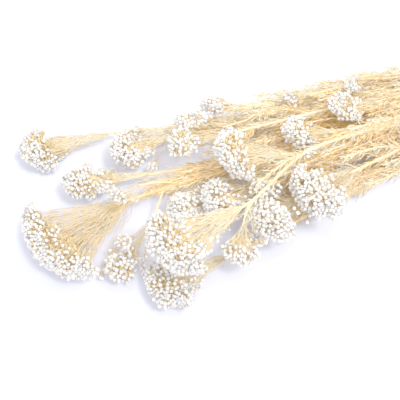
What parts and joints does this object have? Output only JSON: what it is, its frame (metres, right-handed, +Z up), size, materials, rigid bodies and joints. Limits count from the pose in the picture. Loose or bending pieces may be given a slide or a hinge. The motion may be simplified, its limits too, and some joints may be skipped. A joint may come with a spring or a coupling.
{
  "type": "bunch of dried rice flower",
  "caption": "Bunch of dried rice flower lying on a surface: straw stems with needle leaves, held by an elastic band, that fan out to domed heads of small ivory buds.",
  "frame": {"origin": "on the surface that the bunch lies on, under the middle of its bounding box", "axes": "+X from the flower heads to the cut ends, along the bunch; +Z up from the surface; +Y towards the back of the bunch"},
  "size_m": [0.54, 0.2178, 0.0802],
  "materials": {
    "straw": "dry, matt plant fibre, straw to golden brown",
    "bud_white": "dry, papery, matt ivory bracts",
    "rubber": "matt natural rubber"
  },
  "bodies": {
    "root": {"stem_01": "straw", "stem_02": "straw", "stem_03": "straw", "stem_04": "straw", "stem_05": "straw", "stem_06": "straw", "stem_07": "straw", "stem_08": "straw", "stem_09": "straw", "stem_10": "straw", "stem_11": "straw", "stem_12": "straw", "stem_13": "straw", "stem_14": "straw", "head_01a": "bud_white", "head_02a": "bud_white", "head_03a": "bud_white", "head_03b": "bud_white", "head_03c": "bud_white", "head_04a": "bud_white", "head_05a": "bud_white", "head_05b": "bud_white", "head_06a": "bud_white", "head_07a": "bud_white", "head_08a": "bud_white", "head_08b": "bud_white", "head_09a": "bud_white", "head_10a": "bud_white", "head_10b": "bud_white", "head_11a": "bud_white", "head_11b": "bud_white", "head_12a": "bud_white", "head_13a": "bud_white", "head_14a": "bud_white", "head_14b": "bud_white", "tie_band": "rubber"}
  },
  "joints": []
}
